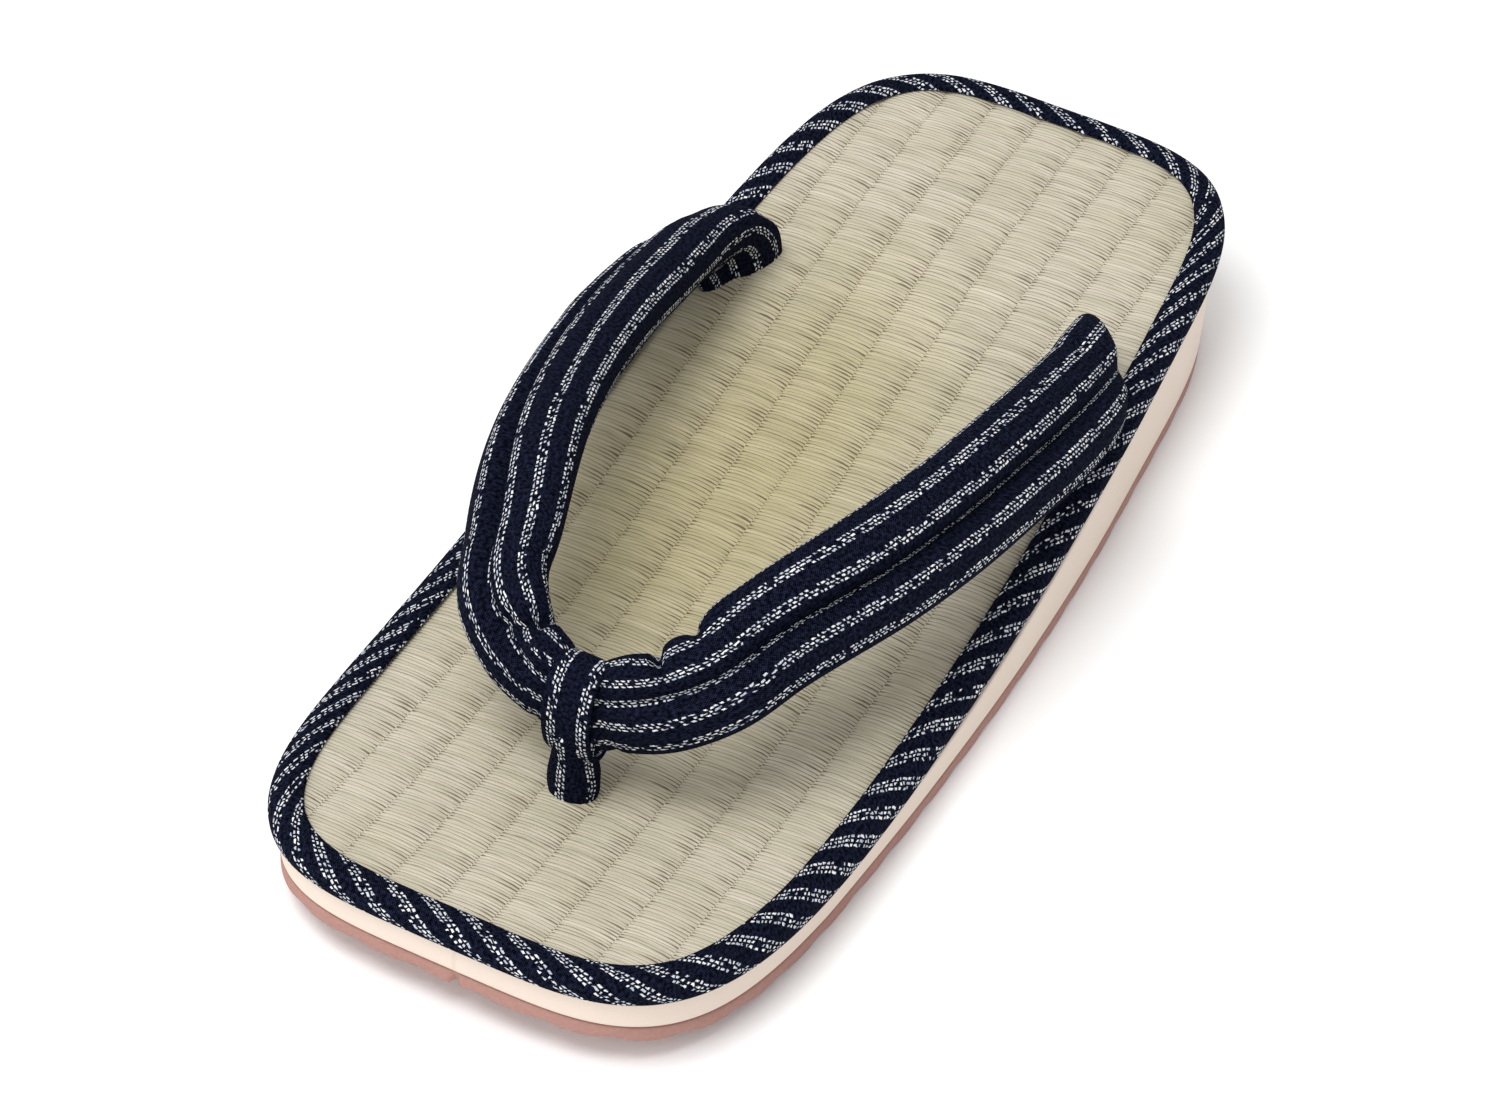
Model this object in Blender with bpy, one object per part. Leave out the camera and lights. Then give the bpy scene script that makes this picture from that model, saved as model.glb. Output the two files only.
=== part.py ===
"""Rush grass sandal: a foam sole, a rush mat with a cotton binding, two padded arms and a toe post.

Metres, +Z up. The toe points along -Y, the heel along +Y. The origin is on the floor, under the
middle of the sandal's box. Each sub-part is its own object with its own material.
"""
import math

import bmesh
import bpy
import numpy as np
from mathutils import Vector

# Sizes of the whole sandal
LENGTH = 0.2506             # over the binding, toe to heel
BALL_HALF = 0.0444          # half width of the visible mat at the ball
HEEL_HEIGHT = 0.0310        # floor to the mat's top at the heel
TOE_SPRING = 0.0078         # how far the sole's tip clears the floor
TOE_SQUARE = 4.6            # power of the outline's rounded corners at the toe
HEEL_SQUARE = 4.7           # the same at the heel

# The sole's layers
OUTSOLE_THICK = 0.0032
TREAD_PITCH = 0.0062        # half a wave of the outsole's scalloped lower edge
TREAD_DEPTH = 0.0007
TREAD_BAND = 0.0050         # how far the scallops run in under the sole
NOTCH_WIDE = 0.0015         # parting notch at the middle of the toe
NOTCH_DEEP = 0.0012
NOTCH_SIDE = 0.0018         # the notch's offset from the middle line
FIT = 0.0003                # gap kept between pieces that touch
OVERLAP = 0.0008            # how far solids run into each other where they are joined
OUTLINE_STEPS = 40          # points along half the outline

# The mat
RUSH_THICK = 0.0029         # at its rim, inside the binding
RIB_PITCH = 0.00990         # between two lengthwise warp seams
RIB_RISE = 0.0005           # a rib's crown above its seams
RIB_SHIFT = 0.0003          # the middle rib's offset from the sandal's middle line
RIB_ROUND = 0.6             # power of a rib's crown, lower is flatter
RIB_STEPS = 4               # points across one rib
MAT_STEPS = 26              # sections along the mat
CORE_GAP = 0.0004           # between the mat's lower core and the binding

# The binding
BINDING_WIDE = 0.0063       # seen from above
BINDING_CROWN = 0.0014      # above the mat
BINDING_TALL = 0.0040       # its wall, below the mat's top
BINDING_WALL = 0.0020       # thickness outside the mat's rim
BINDING_STEPS = 44          # points along half of it

# The straps
STRAP_VALLEY = 0.0012       # depth of the lengthwise valley in the outer face
VALLEY_SPREAD = 0.42        # its reach round the section, in radians
STRAP_SIDES = 16            # points round a section
STRAP_STEPS = 26            # sections along one arm
REAR_SKEW = 0.0020          # the right arm's end lies this far back, the left one's forward
SKEW_FROM = -0.2            # where along the skew begins
SKEW_RUN = 0.5              # how far along it takes to grow

# The toe post
POST_BACK = 0.0790          # its foot, in front of the sandal's middle
POST_WIDE = 0.0094
POST_DEEP = 0.0084
POST_SIDES = 14
BAND_WIDE = 0.0092          # the loop that holds the straps
BAND_THICK = 0.0020
BAND_SIDES = 8
BAND_STEPS = 20

HALF = LENGTH/2 - BINDING_WIDE      # half length of the visible mat

# Half width of the visible mat: how far along (toe -1, heel 1), share of BALL_HALF
WIDTHS = (
    (-1.00, 1.060), (-0.67, 1.013), (-0.33, 0.995), (0.00, 0.990),
    (0.33, 0.967), (0.67, 0.936), (1.00, 0.962),
)

# Height of the mat's top: how far along, share of HEEL_HEIGHT
MAT_TOP = (
    (-1.06, 0.690), (-0.84, 0.580), (-0.63, 0.492), (-0.42, 0.462), (-0.21, 0.495),
    (0.00, 0.587), (0.21, 0.703), (0.42, 0.833), (0.63, 0.942), (0.84, 0.990), (1.06, 1.000),
)

# Lift of the sole's underside: how far along, share of TOE_SPRING
SOLE_LIFT = (
    (-1.06, 1.000), (-0.95, 0.660), (-0.84, 0.360), (-0.73, 0.130), (-0.62, 0.000), (1.06, 0.000),
)

# Outset of the sole's wall from the mat's visible edge: how far along, share of BINDING_WIDE
SOLE_OUT = (
    (-1.06, 0.72), (-0.75, 0.64), (-0.55, 0.74), (-0.30, 0.93), (0.00, 1.00),
    (0.25, 0.95), (0.50, 0.81), (0.70, 0.78), (1.06, 0.66),
)

# One arm from the joint to its tucked end: across (shares of BALL_HALF), along (shares of HALF),
# height over the mat, half width, half thickness, lean of the outer face in degrees
ARM = (
    (0.000, -0.653, 0.0190, 0.0090, 0.0044, 91),
    (0.331, -0.621, 0.0244, 0.0094, 0.0056, 81),
    (0.466, -0.578, 0.0282, 0.0098, 0.0062, 73),
    (0.577, -0.476, 0.0318, 0.0104, 0.0065, 66),
    (0.779, -0.260, 0.0322, 0.0110, 0.0069, 66),
    (0.860, -0.118, 0.0294, 0.0110, 0.0070, 67),
    (0.912, 0.044, 0.0246, 0.0110, 0.0071, 67),
    (0.940, 0.200, 0.0188, 0.0109, 0.0071, 66),
    (0.936, 0.300, 0.0150, 0.0105, 0.0068, 70),
    (0.900, 0.376, 0.0115, 0.0099, 0.0058, 80),
    (0.848, 0.428, 0.0068, 0.0096, 0.0039, 90),
    (0.818, 0.446, 0.0010, 0.0096, 0.0027, 101),
    (0.806, 0.448, -0.0036, 0.0095, 0.0024, 105),
    (0.805, 0.448, -0.0066, 0.0094, 0.0024, 105),
)

# The binding's face, from the mat's edge round to its underside: share of its width, height
# over the mat as a share of its crown above the mat or of its wall below
BINDING_FACE = (
    (0.00, 0.62), (0.22, 0.93), (0.55, 1.00), (0.84, 0.30),
    (0.98, -0.22), (1.00, -0.50), (0.95, -0.82), (0.84, -1.00),
)

# The toe post's stem: height over the mat, share of its width, share of its depth, shift back
STEM = (
    (-0.0080, 0.78, 0.78, 0.0000),
    (-0.0005, 0.90, 0.92, 0.0000),
    (0.0030, 1.00, 1.02, 0.0000),
    (0.0060, 0.97, 0.98, -0.0002),
    (0.0090, 0.86, 0.90, -0.0004),
    (0.0120, 0.92, 0.96, -0.0005),
    (0.0170, 0.96, 1.00, -0.0006),
)

for old in list(bpy.data.objects):
    bpy.data.objects.remove(old, do_unlink=True)
parts = bpy.data.collections.new("Rush sandal")
cutters = bpy.data.collections.new("Cutters")
for group in (parts, cutters):
    bpy.context.scene.collection.children.link(group)


def smooth(table, x, column=1):
    """Reads a column of a table at x, along a cubic that passes through its rows."""
    xs = np.array([row[0] for row in table], float)
    ys = np.array([row[column] for row in table], float)
    slope = np.gradient(ys, xs)
    x = float(min(max(x, xs[0]), xs[-1]))
    i = int(min(np.searchsorted(xs, x, side="right") - 1, len(xs) - 2))
    step = xs[i + 1] - xs[i]
    t = (x - xs[i])/step
    return ((2*t**3 - 3*t**2 + 1)*ys[i] + (t**3 - 2*t**2 + t)*step*slope[i]
            + (3*t**2 - 2*t**3)*ys[i + 1] + (t**3 - t**2)*step*slope[i + 1])


def mat_top(y):
    return HEEL_HEIGHT*smooth(MAT_TOP, y/HALF)


def sole_lift(y):
    return TOE_SPRING*max(0.0, smooth(SOLE_LIFT, y/HALF))


def half_outline(steps=900):
    """The visible mat's right-hand edge, from the middle of the toe to the middle of the heel."""
    line = []
    for k in range(steps + 1):
        angle = -math.pi/2 + math.pi*k/steps
        power = TOE_SQUARE if angle < 0 else HEEL_SQUARE
        y = HALF*math.sin(angle)
        for _ in range(12):
            wide = BALL_HALF*smooth(WIDTHS, y/HALF)
            ray = (abs(math.cos(angle)/wide)**power + abs(math.sin(angle)/HALF)**power)**(-1/power)
            y = ray*math.sin(angle)
        line.append((ray*math.cos(angle), y))
    line[0] = (0.0, -HALF)
    line[-1] = (0.0, HALF)
    return np.array(line)


EDGE = half_outline()


def loop(outset, steps):
    """A closed line round the sandal, outset from the visible mat's edge, as (x, y) pairs.

    The outset is one length, or one for each point of the edge. The line starts at the middle of
    the toe and holds mirrored pairs of points, evenly spaced.
    """
    tangent = np.gradient(EDGE, axis=0)
    tangent[0] = tangent[-1] = (0, 0)
    tangent[0][0], tangent[-1][0] = 1, -1
    tangent /= np.linalg.norm(tangent, axis=1, keepdims=True)
    outset = np.broadcast_to(outset, len(EDGE))[:, None]
    line = EDGE + outset*np.column_stack([tangent[:, 1], -tangent[:, 0]])
    run = np.concatenate([[0], np.cumsum(np.linalg.norm(np.diff(line, axis=0), axis=1))])
    at = np.linspace(0, run[-1], steps + 1)
    x = np.interp(at, run, line[:, 0])
    y = np.interp(at, run, line[:, 1])
    x[0] = x[-1] = 0.0
    right = list(zip(x, y))
    return right + [(-a, b) for a, b in reversed(right[1:-1])]


def paint(item, colour, roughness):
    material = bpy.data.materials.new(item.name)
    material.use_nodes = True
    shader = material.node_tree.nodes["Principled BSDF"]
    linear = [((c/255 + 0.055)/1.055)**2.4 if c > 10 else c/3294.6 for c in colour]
    shader.inputs["Base Color"].default_value = (*linear, 1.0)
    shader.inputs["Roughness"].default_value = roughness
    shader.inputs["Metallic"].default_value = 0.0
    item.data.materials.append(material)


def add_mesh(name, shape, group):
    bmesh.ops.recalc_face_normals(shape, faces=shape.faces)
    data = bpy.data.meshes.new(name)
    shape.to_mesh(data)
    shape.free()
    item = bpy.data.objects.new(name, data)
    group.objects.link(item)
    if group is cutters:
        item.hide_render = True
        item.display_type = "WIRE"
    return item


def stack(name, rings, steps, group, closed=False):
    """A solid from rings of the sandal's outline, each an (outset, height of y) pair.

    Its first ring is closed below and its last above, by strips across the sandal, or the last
    ring is joined to the first where closed is set.
    """
    shape = bmesh.new()
    loops = []
    for outset, height in rings:
        loops.append([shape.verts.new((x, y, height(x, y))) for x, y in loop(outset, steps)])
    count = 2*steps
    pairs = list(zip(loops, loops[1:] + loops[:1])) if closed else list(zip(loops, loops[1:]))
    for low, high in pairs:
        for k in range(count):
            after = (k + 1) % count
            shape.faces.new((low[k], low[after], high[after], high[k]))
    if not closed:
        for cap in (loops[0], loops[-1]):
            shape.faces.new((cap[0], cap[1], cap[-1]))
            for k in range(1, steps - 1):
                shape.faces.new((cap[k], cap[k + 1], cap[count - k - 1], cap[count - k]))
            shape.faces.new((cap[steps], cap[steps + 1], cap[steps - 1]))
    return add_mesh(name, shape, group)


def loft(name, rings, group, closed=False):
    """A tube through closed rings of points, capped flat or joined end to end."""
    shape = bmesh.new()
    rows = [[shape.verts.new(point) for point in ring] for ring in rings]
    pairs = list(zip(rows, rows[1:] + rows[:1])) if closed else list(zip(rows, rows[1:]))
    for a, b in pairs:
        for k in range(len(a)):
            after = (k + 1) % len(a)
            shape.faces.new((a[k], a[after], b[after], b[k]))
    if not closed:
        shape.faces.new(rows[0])
        shape.faces.new(rows[-1])
    return add_mesh(name, shape, group)


def cut(item, cutter, operation="DIFFERENCE"):
    change = item.modifiers.new(cutter.name, "BOOLEAN")
    change.operation = operation
    change.object = cutter
    change.solver = "EXACT"


# The arms' middle line, its frames and its sections
def arm_frames(hand=1):
    """Centre, width direction, face normal and half sizes of each section of an arm.

    hand is 1 for the right arm and -1 for the left one, which is worked out on the right.
    """
    rows = np.array(ARM, float)
    points = []
    for across, along, over, *_ in rows:
        level = mat_top(along*HALF) + over
        back = min(max((along - SKEW_FROM)/SKEW_RUN, 0.0), 1.0)
        y = along*HALF + hand*REAR_SKEW*back*back*(3 - 2*back)
        points.append((across*BALL_HALF, y, level))
    points = np.array(points)
    run = np.concatenate([[0], np.cumsum(np.linalg.norm(np.diff(points, axis=0), axis=1))])
    tables = [list(zip(run, points[:, k])) for k in range(3)]
    tables += [list(zip(run, rows[:, k])) for k in (3, 4, 5)]
    at = np.linspace(0, run[-1], STRAP_STEPS + 1)
    centre = np.array([[smooth(t, s) for t in tables[:3]] for s in at])
    tangent = np.gradient(centre, axis=0)
    tangent[0] = (1, 0, 0)
    tangent /= np.linalg.norm(tangent, axis=1, keepdims=True)
    side = np.array((0.0, -1.0, 0.0))
    frames = []
    for k, s in enumerate(at):
        side = side - side.dot(tangent[k])*tangent[k]
        side /= np.linalg.norm(side)
        up = np.cross(side, tangent[k])
        lean = math.radians(smooth(tables[5], s))
        wide = side*math.cos(lean) - up*math.sin(lean)
        face = up*math.cos(lean) + side*math.sin(lean)
        frames.append((centre[k], wide, face, smooth(tables[3], s), smooth(tables[4], s)))
    return frames


def section(frame, grow=0.0, valley=True):
    """A padded section: an ellipse with a valley along the middle of its outer face."""
    centre, wide, face, half_wide, half_thick = frame
    ring = []
    for k in range(STRAP_SIDES):
        angle = 2*math.pi*k/STRAP_SIDES
        dip = STRAP_VALLEY*math.exp(-((angle - math.pi/2)/VALLEY_SPREAD)**2) if valley else 0.0
        across = (half_wide + grow)*math.cos(angle)
        out = (half_thick + grow)*math.sin(angle) - dip
        ring.append(Vector(centre + wide*across + face*out))
    return ring


def mirrored(ring):
    return [Vector((-p.x, p.y, p.z)) for p in ring]


def arms(name, grow, group, valley=True):
    right = [section(frame, grow, valley) for frame in arm_frames(1)]
    left = [mirrored(section(frame, grow, valley)) for frame in arm_frames(-1)]
    return loft(name, left[:0:-1] + right, group)


# Outsole: a sheet whose lower edge waves, with a parting notch at the toe
WALL = np.array([BINDING_WIDE*smooth(SOLE_OUT, y/HALF) for y in EDGE[:, 1]])
rim_steps = round(sum(np.linalg.norm(np.diff(EDGE, axis=0), axis=1))/TREAD_PITCH/2)*2
wave = {}
for number, (x, y) in enumerate(loop(WALL, rim_steps)):
    wave[(round(x, 7), round(y, 7))] = TREAD_DEPTH*(number % 2)


def scallop(x, y):
    return sole_lift(y) + wave[(round(x, 7), round(y, 7))]


def outsole_top(x, y):
    return sole_lift(y) + OUTSOLE_THICK


outsole = stack("outsole", [
    (WALL - TREAD_BAND, lambda x, y: sole_lift(y)),
    (WALL, scallop),
    (WALL, outsole_top),
], rim_steps, parts)
tip = -(HALF + WALL[0])
bpy.ops.mesh.primitive_cube_add(size=1, location=(NOTCH_SIDE, tip, outsole_top(0, tip)))
notch = bpy.context.object
notch.name = "notch"
notch.scale = (NOTCH_WIDE, 2*NOTCH_DEEP, 4*OUTSOLE_THICK)
bpy.context.collection.objects.unlink(notch)
cutters.objects.link(notch)
notch.hide_render = True
notch.display_type = "WIRE"
cut(outsole, notch)

# Midsole: the foam wedge between the outsole and the mat
MAT_LOW = BINDING_TALL + FIT
midsole = stack("midsole", [
    (WALL, lambda x, y: outsole_top(x, y) + FIT),
    (WALL, lambda x, y: mat_top(y) - MAT_LOW),
], OUTLINE_STEPS, parts)

# Mat: a ribbed rush sheet cut to the outline, with a flat core below it
def over_mat(dz):
    return lambda x, y: mat_top(y) + dz


rim = BINDING_WIDE - BINDING_WALL - FIT
ribs = math.ceil((BALL_HALF + 2*BINDING_WIDE)/RIB_PITCH)
profile = []
for k in range(-ribs*RIB_STEPS, ribs*RIB_STEPS + 1):
    crown = abs(math.sin(math.pi*k/RIB_STEPS))**RIB_ROUND
    profile.append(((k/RIB_STEPS + 0.5)*RIB_PITCH + RIB_SHIFT, RIB_RISE*(crown - 1)))
reach = HALF + 2*BINDING_WIDE
sheet = bmesh.new()
rows = []
for k in range(MAT_STEPS + 1):
    y = -reach + 2*reach*k/MAT_STEPS
    low = mat_top(y) - RUSH_THICK
    row = [sheet.verts.new((x, y, mat_top(y) + dz)) for x, dz in profile]
    row.append(sheet.verts.new((profile[-1][0], y, low)))
    row.append(sheet.verts.new((profile[0][0], y, low)))
    rows.append(row)
for a, b in zip(rows, rows[1:]):
    for k in range(len(a)):
        after = (k + 1) % len(a)
        sheet.faces.new((a[k], a[after], b[after], b[k]))
sheet.faces.new(rows[0])
sheet.faces.new(rows[-1])
mat = add_mesh("mat", sheet, parts)
trim = stack("trim", [
    (rim, lambda x, y: -HEEL_HEIGHT),
    (rim, lambda x, y: 2*HEEL_HEIGHT),
], OUTLINE_STEPS, cutters)
cut(mat, trim, "INTERSECT")
core = stack("core", [
    (-CORE_GAP, over_mat(-BINDING_TALL)),
    (-CORE_GAP, over_mat(OVERLAP - RUSH_THICK)),
], OUTLINE_STEPS, cutters)
cut(mat, core, "UNION")

# Binding: a rolled tape with a C section round the mat's rim
face = []
for share, height in BINDING_FACE:
    face.append((share*BINDING_WIDE, over_mat(height*(BINDING_CROWN if height > 0 else BINDING_TALL))))
binding = stack("binding", [(0.0, over_mat(FIT))] + face + [
    (0.0, over_mat(-BINDING_TALL)),
    (0.0, over_mat(-RUSH_THICK - FIT)),
    (rim + FIT, over_mat(-RUSH_THICK - FIT)),
    (rim + FIT, over_mat(FIT)),
], BINDING_STEPS, parts, closed=True)

# Straps: one padded tube from tucked end to tucked end, joined at the toe post
strap = arms("strap", 0.0, parts)
strap_room = arms("strap room", FIT, cutters, valley=False)

# Toe post: a stem out of the mat, and a loop of the same tape round the straps' joint
foot_y = -POST_BACK
foot_z = mat_top(foot_y)


def stem_rings(grow):
    rings = []
    for over, wide, deep, shift in STEM:
        ring = []
        for k in range(POST_SIDES):
            angle = 2*math.pi*k/POST_SIDES
            ring.append(Vector(((POST_WIDE/2*wide + grow)*math.cos(angle),
                                foot_y + shift + (POST_DEEP/2*deep + grow)*math.sin(angle),
                                foot_z + over)))
        rings.append(ring)
    return rings


def band_rings():
    """The loop's sections, on the outside of the straps' joint."""
    centre, wide, face, half_wide, half_thick = arm_frames()[0]
    corner = math.pi/BAND_SIDES
    rings = []
    for k in range(BAND_STEPS):
        angle = 2*math.pi*k/BAND_STEPS
        out = wide*(half_wide*math.cos(angle)) + face*(half_thick*math.sin(angle))
        normal = wide*(math.cos(angle)/half_wide) + face*(math.sin(angle)/half_thick)
        normal /= np.linalg.norm(normal)
        ring = []
        for j in range(BAND_SIDES):
            turn = (2*j + 1)*corner
            across = BAND_WIDE/2*math.cos(turn)/math.cos(corner)
            lift = BAND_THICK/2*(1 + math.sin(turn)/math.cos(corner))
            ring.append(Vector(centre + out + normal*lift + np.array((across, 0, 0))))
        rings.append(ring)
    return rings


toe_post = loft("toe_post", stem_rings(0.0), parts)
band = loft("band", band_rings(), cutters, closed=True)
cut(toe_post, band, "UNION")
cut(toe_post, strap_room)
post_room = loft("post room", stem_rings(FIT), cutters)
for item in (mat, midsole):
    cut(item, strap_room)
    cut(item, post_room)

paint(outsole, (176, 128, 116), 0.85)
paint(midsole, (232, 217, 202), 0.8)
paint(mat, (203, 195, 166), 0.75)
paint(binding, (34, 38, 58), 0.9)
paint(strap, (30, 32, 52), 0.9)
paint(toe_post, (30, 32, 52), 0.9)
for item in (strap, toe_post, binding):
    item.data.shade_smooth()
    item.data.set_sharp_from_angle(angle=math.radians(40))
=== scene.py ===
"""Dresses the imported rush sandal: foam sole, rush mat, bound rim, padded striped straps and toe post."""

import math

import bmesh
import bpy
import numpy as np
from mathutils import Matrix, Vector


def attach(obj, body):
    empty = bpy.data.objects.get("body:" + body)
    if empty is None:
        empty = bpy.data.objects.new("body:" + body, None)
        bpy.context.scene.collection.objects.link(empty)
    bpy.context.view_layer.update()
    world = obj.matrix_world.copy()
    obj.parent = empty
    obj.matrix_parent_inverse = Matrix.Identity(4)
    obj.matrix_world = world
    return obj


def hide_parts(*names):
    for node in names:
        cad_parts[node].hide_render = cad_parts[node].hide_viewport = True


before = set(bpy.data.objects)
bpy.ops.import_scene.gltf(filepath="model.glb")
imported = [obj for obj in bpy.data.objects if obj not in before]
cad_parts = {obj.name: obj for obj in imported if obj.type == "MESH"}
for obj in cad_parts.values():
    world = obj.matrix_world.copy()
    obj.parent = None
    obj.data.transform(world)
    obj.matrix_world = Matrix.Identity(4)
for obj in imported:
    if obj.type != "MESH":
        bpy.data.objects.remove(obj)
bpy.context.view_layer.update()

# Outsole
# A sheet of brown foam rubber, glued under the wedge and ground flush with it. Its lower edge waves
# where the tread runs out, and a small notch at the toe is the end of a mould parting.
HALF = 0.119                # half length of the visible mat
BALL_HALF = 0.0444          # half width of the visible mat at the ball
HEEL_HEIGHT = 0.0310
TOE_SPRING = 0.0078
CORNERS = (4.6, 4.7)        # powers of the outline's rounded corners, toe and heel
RIM_WIDE = 0.0063           # the binding, seen from above
OUTSOLE_THICK = 0.0032
WIDTHS = (                  # how far along, share of the ball's half width
    (-1.00, 1.060), (-0.67, 1.013), (-0.33, 0.995), (0.00, 0.990),
    (0.33, 0.967), (0.67, 0.936), (1.00, 0.962),
)
MAT_TOP = (                 # how far along, share of the heel's height
    (-1.06, 0.690), (-0.84, 0.580), (-0.63, 0.492), (-0.42, 0.462), (-0.21, 0.495),
    (0.00, 0.587), (0.21, 0.703), (0.42, 0.833), (0.63, 0.942), (0.84, 0.990), (1.06, 1.000),
)
SOLE_LIFT = (               # how far along, share of the toe spring
    (-1.06, 1.000), (-0.95, 0.660), (-0.84, 0.360), (-0.73, 0.130), (-0.62, 0.000), (1.06, 0.000),
)
SOLE_OUT = (                # how far along, the wall's outset in shares of the binding's width
    (-1.06, 0.72), (-0.75, 0.64), (-0.55, 0.74), (-0.30, 0.93), (0.00, 1.00),
    (0.25, 0.95), (0.50, 0.81), (0.70, 0.78), (1.06, 0.66),
)
SLAB_MAP = (620, 30)        # millimetres round the sole and across its skin, for its map


def smooth(table, x, column=1):
    """Reads a column of a table at each x, along a cubic through its rows."""
    table = np.asarray(table, float)
    xs, ys = table[:, 0], table[:, column]
    slope = np.gradient(ys, xs)
    x = np.clip(np.asarray(x, float), xs[0], xs[-1])
    i = np.clip(np.searchsorted(xs, x, side="right") - 1, 0, len(xs) - 2)
    step = xs[i + 1] - xs[i]
    t = (x - xs[i])/step
    return ((2*t**3 - 3*t**2 + 1)*ys[i] + (t**3 - 2*t**2 + t)*step*slope[i]
            + (3*t**2 - 2*t**3)*ys[i + 1] + (t**3 - t**2)*step*slope[i + 1])


def mat_top(y):
    return HEEL_HEIGHT*smooth(MAT_TOP, np.asarray(y)/HALF)


def sole_lift(y):
    return TOE_SPRING*np.maximum(0.0, smooth(SOLE_LIFT, np.asarray(y)/HALF))


angle = np.linspace(-math.pi/2, math.pi/2, 1201)
power = np.where(angle < 0, *CORNERS)
edge_y = HALF*np.sin(angle)
for _ in range(12):         # the width follows from how far along a point is, and a few rounds settle it
    wide = BALL_HALF*smooth(WIDTHS, edge_y/HALF)
    ray = (abs(np.cos(angle)/wide)**power + abs(np.sin(angle)/HALF)**power)**(-1/power)
    edge_y = ray*np.sin(angle)
edge = np.column_stack([ray*np.cos(angle), edge_y])
edge[0], edge[-1] = (0, -HALF), (0, HALF)
heading = np.gradient(edge, axis=0)
heading[0], heading[-1] = (1, 0), (-1, 0)
heading /= np.linalg.norm(heading, axis=1, keepdims=True)
wall = RIM_WIDE*smooth(SOLE_OUT, edge[:, 1]/HALF)      # the sole's wall outside the mat's edge


def outline(outset, steps):
    """The sandal's outline, outset from the mat's visible edge, from the toe round by +X and back."""
    outset = np.broadcast_to(outset, len(edge))[:, None]
    line = edge + outset*np.column_stack([heading[:, 1], -heading[:, 0]])
    run = np.concatenate([[0], np.cumsum(np.linalg.norm(np.diff(line, axis=0), axis=1))])
    at = np.linspace(0, run[-1], steps + 1)
    x, y = np.interp(at, run, line[:, 0]), np.interp(at, run, line[:, 1])
    x[0] = x[-1] = 0.0
    return np.concatenate([np.column_stack([x, y]), np.column_stack([-x, y])[-2::-1]])


def skin(name, points, size):
    """A closed skin: a grid laid through points[i][j] and joined where it meets itself.

    Its map holds the place on the grid, stretched to size in millimetres.
    """
    points = np.asarray(points, float)
    columns, rows = points.shape[0] - 1, points.shape[1] - 1
    shape = bmesh.new()
    bmesh.ops.create_grid(shape, x_segments=columns, y_segments=rows, size=0.5)
    layer = shape.loops.layers.uv.new("cloth")
    for face in shape.faces:
        for corner in face.loops:
            at = corner.vert.co
            corner[layer].uv = ((at.x + 0.5)*size[0], (at.y + 0.5)*size[1])
    for vert in shape.verts:
        vert.co = points[round((vert.co.x + 0.5)*columns)][round((vert.co.y + 0.5)*rows)]
    bmesh.ops.remove_doubles(shape, verts=shape.verts, dist=2e-6)
    bmesh.ops.dissolve_degenerate(shape, edges=shape.edges, dist=1e-7)
    bmesh.ops.recalc_face_normals(shape, faces=shape.faces)
    data = bpy.data.meshes.new(name)
    shape.to_mesh(data)
    shape.free()
    data.shade_smooth()
    piece = bpy.data.objects.new(name, data)
    bpy.context.scene.collection.objects.link(piece)
    return piece


def slab(name, rings, steps):
    """A solid from rings of the outline: outset, share of its width, height and rise for each."""
    columns = []
    for outset, share, height, rise in rings:
        line = outline(outset, steps)
        columns.append(np.column_stack([line[:, 0]*share, line[:, 1], height(line) + rise]))
    return skin(name, np.stack(columns, axis=1), SLAB_MAP)


def linear(colour):
    """A hex colour as Blender's linear light."""
    parts = [int(colour[k:k + 2], 16)/255 for k in (1, 3, 5)]
    return (*[c/12.92 if c <= 0.04045 else ((c + 0.055)/1.055)**2.4 for c in parts], 1.0)


def node(material, kind, inputs=(), **settings):
    """Adds a node: inputs are (socket, value or output) pairs, settings its own properties."""
    made = material.node_tree.nodes.new("ShaderNode" + kind)
    for key, value in settings.items():
        setattr(made, key, value)
    for key, value in inputs:
        if isinstance(value, bpy.types.NodeSocket):
            material.node_tree.links.new(value, made.inputs[key])
        else:
            made.inputs[key].default_value = value
    return made


def finish(name, roughness, sheen=0.0, specular=0.5):
    """A new material with its gloss set; returns it with its shader."""
    material = bpy.data.materials.new(name)
    material.use_nodes = True
    shader = material.node_tree.nodes["Principled BSDF"]
    for key, value in (("Roughness", roughness), ("Sheen Weight", sheen), ("IOR", 1.5),
                       ("Specular IOR Level", specular)):
        shader.inputs[key].default_value = value
    return material, shader


SCALLOP = 0.0124            # one wave of the lower edge
SCALLOP_DEEP = 0.0006
SKIRT = 0.0050              # how far the waves run in under the sole
PARTING_AT = 0.0018         # the mould parting, beside the middle of the toe
PARTING_WIDE = 0.0007
PARTING_TALL = 0.0006       # its notch, up into the lower edge
PARTING_DEEP = 0.0011       # and back into the wall
PARTING_FULL = 0.0012       # up to this height it is cut to its full depth
PARTING_FADE = 0.0026       # and over this one it fades, down to about half


def tread(line):
    return sole_lift(line[:, 1])


def wave(line):
    """How far the scalloped edge rises at each point of the outline."""
    run = np.concatenate([[0], np.cumsum(np.linalg.norm(np.diff(line, axis=0), axis=1))])
    turns = round(run[-1]/SCALLOP)
    return SCALLOP_DEEP*(0.5 - 0.5*np.cos(2*math.pi*turns*run/run[-1]))**2


def notch(x):
    """The parting's share at x, from 0 beside it to 1 in its middle."""
    return np.exp(-((x - PARTING_AT)/PARTING_WIDE)**4)


def skirt(line):
    return tread(line) + 0.4*wave(line)


def lower_edge(line):
    return tread(line) + wave(line) + PARTING_TALL*notch(line[:, 0])*(line[:, 1] < 0)


def rubber_top(line):
    return tread(line) + OUTSOLE_THICK


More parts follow.
